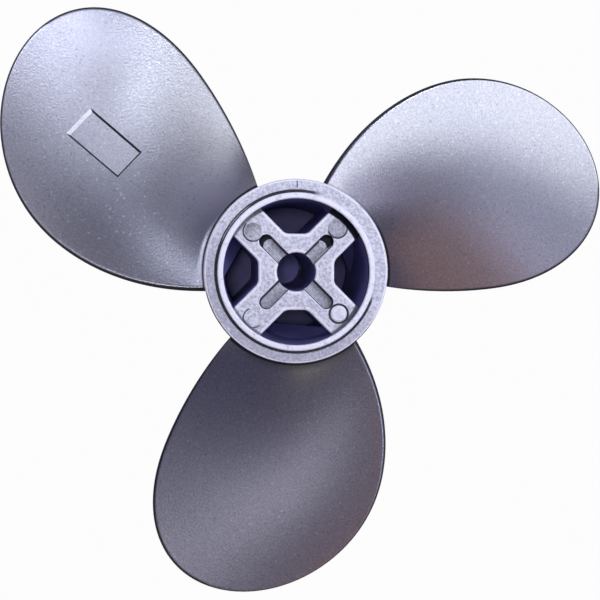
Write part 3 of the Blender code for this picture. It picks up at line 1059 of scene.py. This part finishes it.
def spider_rim(tree, where):
    """A painted highlight: a bright strip inside the outline of the spider's face and round the bore."""
    ring, height = ring_and_height(tree, where)
    insides = []
    for direction in (UPPER_RIGHT, LOWER_RIGHT):
        away = reckon(tree, "ABSOLUTE", vectors(tree, "DOT_PRODUCT", where, direction))
        insides.append(reckon(tree, "SUBTRACT", ARM_HALF_WIDTH, away))
    sides = put(tree, "SeparateXYZ", {0: where}).outputs
    square = largest(tree, *(reckon(tree, "ABSOLUTE", sides[axis]) for axis in ("X", "Y")))
    inside = largest(tree, *insides, reckon(tree, "SUBTRACT", BOSS_FLAT, square))
    inside = reckon(tree, "MINIMUM", inside, reckon(tree, "SUBTRACT", ring, BORE_RADIUS))
    return product(tree, soft_step(tree, inside, RIM_STRIP, EDGE_ROUND),
                   soft_step(tree, ring, STRIP_END, STRIP_START),
                   soft_step(tree, height, FACE - EDGE_ROUND, FACE - 0.1 * MM))


def shaded_side(tree, where):
    """Painted shade: the band is greyer on its lower left."""
    ring, _ = ring_and_height(tree, where)
    return product(tree, toward(tree, where, LOWER_LEFT, -0.2, 0.6),
                   soft_step(tree, ring, BAND_START, BAND_FULL_START), BAND_SHADE)


print(f"bright strip {(RIM_STRIP - EDGE_ROUND) / MM:.2f} mm wide")

# %% Material: hub face
HUB_GRAIN = ((0.56, 0.56, 0.60, 1), (0.80, 0.80, 0.84, 1))
HUB_GREY = (0.30, 0.30, 0.35, 1)
HUB_PIT = (0.28, 0.28, 0.34, 1)
HUB_BRIGHT = (0.97, 0.97, 1.0, 1)
HUB_SHADE = (0.01, 0.01, 0.02, 1)


def hub_face():
    material, tree, shader, where = start_material("rough_hub_face")
    grain = use(tree, cast_grain, {"Vector": where, "Fineness": 1400.0})
    specks = use(tree, glint_and_speck_spots, {"Vector": where, "Fineness": 1100.0, "Rarity": 0.75})
    edges = largest(tree, read_mask(tree, "worn_and_highlit"), spider_rim(tree, where))
    wear_and_highlight = use(tree, edge_wear_and_highlight, {"Vector": where, "Edge": edges, "Fineness": 500.0})
    colour = tint(tree, grain["Mottle"], *HUB_GRAIN)
    # Painted shade on the band's lower left.
    colour = lay(tree, colour, HUB_GREY, shaded_side(tree, where))
    colour = lay(tree, colour, HUB_PIT, specks["Dark"], 0.6)
    # Painted glints in single spots.
    colour = lay(tree, colour, HUB_BRIGHT, specks["Bright"], 0.5)
    # Painted highlight and wear on the edges and the spider's strip.
    colour = lay(tree, colour, HUB_BRIGHT, wear_and_highlight["Mask"])
    # Painted shade darkens the colour and roughens the face.
    shade_share = largest(tree, hub_painted_shade(tree, where), read_mask(tree, "painted_shade"))
    colour = lay(tree, colour, HUB_SHADE, shade_share)
    rough = reckon(tree, "MULTIPLY_ADD", shade_share, 0.4, 0.5)
    bump = bumpy(tree, grain["Height"], 0.8, 0.25 * MM)
    fill(tree, shader, {"Base Color": colour, "Metallic": 0.3, "Roughness": rough, "Normal": bump,
                        "Specular IOR Level": 0.15})
    return material


hub_material = hub_face()
print("hub face nodes:", len(hub_material.node_tree.nodes))

# %% [markdown]
# ## The cored hollows
# The pockets, the bore and the cross hole are deep. Their colour is painted shade, dark with a
# little blue, and the skin is dull. The painted shade is darkest on the pockets' floors, and paler
# on the walls, the bottom of the bore and the cross hole.

# %% Material: hollows
CORE_FLOOR = (0.055, 0.05, 0.15, 1)
CORE_WALL = (0.20, 0.19, 0.42, 1)
CORE_BOTTOM = (0.15, 0.14, 0.38, 1)
CORE_TONE = (0.30, 0.30, 0.50, 1)
CORE_SHADE = (0.02, 0.02, 0.04, 1)
BOTTOM_START = 12 * MM
BOTTOM_FULL = 8 * MM


def hollow_skin():
    material, tree, shader, where = start_material("core_painted_shade")
    grain = use(tree, cast_grain, {"Vector": where, "Fineness": 700.0})
    _, height = ring_and_height(tree, where)
    up_the_wall = soft_step(tree, height, POCKET_FLOOR + 0.5 * MM, POCKET_FLOOR + 6 * MM)
    # Painted shade: darkest on the pockets' floors, paler up the walls and at the bottom of the bore.
    colour = tint(tree, up_the_wall, CORE_FLOOR, CORE_WALL)
    colour = lay(tree, colour, CORE_BOTTOM, soft_step(tree, height, BOTTOM_START, BOTTOM_FULL))
    colour = lay(tree, colour, CORE_TONE, grain["Tone"], 0.1)
    colour = lay(tree, colour, CORE_SHADE, read_mask(tree, "painted_shade"))
    bump = bumpy(tree, grain["Height"], 0.4, 0.2 * MM)
    fill(tree, shader, {"Base Color": colour, "Metallic": 0.3, "Roughness": 0.45, "Normal": bump})
    return material


hollow_material = hollow_skin()
print("hollow skin nodes:", len(hollow_material.node_tree.nodes))

# %% [markdown]
# ## Which face gets which finish
# The finishes change at real edges of the casting, so a face's place is enough to choose: deep
# inside the lip, the bore or the cross hole is a hollow, coloured with painted shade, high up
# within the band is the hub's face, and the rest is blade skin. The floors of the pin slots and the
# sunk ejector marks are bare metal too, so they get the hub's finish, and their own attribute gives
# them a little painted shade.

# %% Hand out the finishes
SKIN, HUB, HOLLOW = range(3)
CLOSE = 0.1 * MM
HAIR = 0.01 * MM
TAIL_WALL_INSIDE = 20 * MM
BAND_SIDE = 1.8 * MM
MARK_DEPTH = 0.75 * MM
MARK_REACH = 1.3 * MARK_RADIUS
UPWARDS = 0.9


def in_pin_slot(middle):
    along, across = sorted((abs(middle.x + middle.y), abs(middle.x - middle.y)), reverse=True)
    within = along < SLOT_REACH * math.sqrt(2) and across < (SLOT_WIDTH / 2 + CLOSE) * math.sqrt(2)
    return within and math.hypot(middle.x, middle.y) > BORE_RADIUS + HAIR


def in_mark(middle):
    flat = Vector((middle.x, middle.y, 0))
    return min((flat - polar(*spot[:2])).length for spot in MARKS) < MARK_REACH


def finish_of(polygon):
    middle = polygon.center
    ring = math.hypot(middle.x, middle.y)
    from_cotter = math.hypot(middle.y, middle.z - COTTER_HEIGHT)
    in_cup = ring < CAVITY_RADIUS + MERGE and middle.z > POCKET_FLOOR - CLOSE
    in_bore = ring < BORE_RADIUS + HAIR and middle.z > BORE_FLOOR - CLOSE
    in_cotter = ring < TAIL_WALL_INSIDE and from_cotter < COTTER_RADIUS + CLOSE
    if (in_cup or in_bore or in_cotter) and middle.z < FACE - EDGE_ROUND:
        at_slot_floor = polygon.normal.z > UPWARDS and middle.z > FACE - SLOT_DROP - CLOSE
        sunk_mark = in_mark(middle) and middle.z > FACE - MARK_DEPTH
        return HUB if sunk_mark or at_slot_floor and in_pin_slot(middle) else HOLLOW
    if ring < HUB_RADIUS + HAIR and middle.z > BAND - BAND_SIDE:
        return HUB
    return SKIN


casting.data.materials.clear()
for material in (skin_material, hub_material, hollow_material):
    casting.data.materials.append(material)
for polygon in casting.data.polygons:
    polygon.material_index = finish_of(polygon)
for number, name in enumerate(("skin", "hub", "hollow")):
    print(name, "faces:", sum(polygon.material_index == number for polygon in casting.data.polygons))

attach(casting, "root")
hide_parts(NODE)

# %% [markdown]
# ## Floor
# The photograph's background is white paper without a visible shadow. The floor is a big pale sheet.
# Its full glow is seen by the camera alone, through Light Path, and everything else meets a much
# weaker one, so that the blades' edges reflect a greyer room. From below it is clear, so that the
# tail can be looked at too, and it lies a hair under the tail, because two faces in one place
# would flicker.

# %% Make the floor
FLOOR_HALF_SIZE = 1.5
FLOOR_GAP = 0.1 * MM
FLOOR_GLOW = 0.12
PAPER_WHITE = 0.98
floor_shape = bmesh.new()
bmesh.ops.create_grid(floor_shape, x_segments=1, y_segments=1, size=FLOOR_HALF_SIZE)
bmesh.ops.translate(floor_shape, verts=floor_shape.verts, vec=(0, 0, -FLOOR_GAP))
floor = as_object("studio_floor", floor_shape)
paper = bpy.data.materials.new("pale_floor")
paper.use_nodes = True
tree = paper.node_tree
surface = fill(tree, tree.nodes["Principled BSDF"], {
    "Base Color": (0.4, 0.4, 0.42, 1), "Roughness": 0.9,
    "Emission Color": (1.0, 1.0, 1.0, 1), "Emission Strength": FLOOR_GLOW})
seen = put(tree, "LightPath", {}).outputs["Is Camera Ray"]
glow = put(tree, "Emission", {"Color": (1, 1, 1, 1), "Strength": PAPER_WHITE})
either = put(tree, "MixShader", {0: seen, 1: surface.outputs[0], 2: glow.outputs[0]})
below = put(tree, "NewGeometry", {}).outputs["Backfacing"]
clear = put(tree, "BsdfTransparent", {})
either = put(tree, "MixShader", {0: below, 1: either.outputs[0], 2: clear.outputs[0]})
fill(tree, tree.nodes["Material Output"], {"Surface": either.outputs[0]})
floor.data.materials.append(paper)
print("floor nodes:", len(tree.nodes))

# %% [markdown]
# ## Light
# One large softbox hangs over the right of the picture, and a small bright one on the upper right
# gives the sharp highlights. Two tall strips hang left and right of the middle, a cool fill stands
# far out on the right, and two warm ones glow from the lower left and from below. One beside the
# camera reaches down into the pockets, and a small near one hangs over the tip of the upper left
# blade. The room itself is a dim blue, so the metal's shaded sides don't go black.

# %% Place the softboxes
LAMP_DISTANCE = 0.9
NEAR_LAMP_DISTANCE = 0.192
BLADE_TIP = (-50 * MM, 50 * MM, 40 * MM)


def softbox(name, direction, width, height, power, colour, over=(0, 0, FRONT), distance=LAMP_DISTANCE):
    data = bpy.data.lights.new(name, "AREA")
    data.shape = "RECTANGLE"
    data.size = width
    data.size_y = height
    data.energy = power
    data.color = colour
    lamp = bpy.data.objects.new(name, data)
    away = Vector(direction).normalized()
    lamp.location = Vector(over) + away * distance
    side = Vector((0, 1, 0)).cross(away).normalized()
    lamp.rotation_euler = Matrix((side, away.cross(side), away)).transposed().to_euler()
    bpy.context.scene.collection.objects.link(lamp)


softbox("key_softbox", (0.69, 0.16, 0.70), 0.60, 0.74, 3.12, (0.86, 0.89, 1.0))
softbox("small_key", (0.32, 0.40, 0.86), 0.10, 0.10, 1.13, (0.78, 0.82, 1.0))
softbox("front_strip", (0.37, -0.26, 0.89), 0.12, 0.49, 0.73, (0.63, 0.70, 1.0))
softbox("left_strip", (-0.39, 0.02, 0.92), 0.18, 0.79, 0.47, (0.87, 0.85, 1.0))
softbox("right_fill", (0.85, -0.29, 0.44), 0.38, 0.51, 0.63, (0.74, 0.72, 1.0))
softbox("left_fill", (-0.70, -0.64, 0.31), 0.44, 0.78, 0.60, (1.0, 0.87, 0.47))
softbox("warm_bounce", (0.13, -0.75, 0.65), 0.80, 0.61, 0.41, (1.0, 0.54, 0.32))
softbox("camera_side", (-0.10, 0.07, 0.99), 0.12, 0.12, 0.9, (0.87, 0.88, 1.0))
softbox("blade_tip_light", (-0.11, 0.73, 0.68), 0.11, 0.11, 0.135, (0.77, 0.80, 1.0),
        over=BLADE_TIP, distance=NEAR_LAMP_DISTANCE)
print("softboxes:", len(bpy.data.lights))

# %% The room and the picture's tones
ROOM = (0.101, 0.096, 0.169, 1)
world = bpy.context.scene.world or bpy.data.worlds.new("studio")
bpy.context.scene.world = world
world.use_nodes = True
tree = world.node_tree
room = fill(tree, tree.nodes["Background"], {"Color": ROOM, "Strength": 1.0})
seen = put(tree, "LightPath", {}).outputs["Is Camera Ray"]
backdrop = put(tree, "Background", {"Color": (PAPER_WHITE, PAPER_WHITE, PAPER_WHITE, 1)})
either = put(tree, "MixShader", {0: seen, 1: room.outputs[0], 2: backdrop.outputs[0]})
fill(tree, tree.nodes["World Output"], {"Surface": either.outputs[0]})
bpy.context.scene.view_settings.view_transform = "Standard"
print("room nodes:", len(tree.nodes))
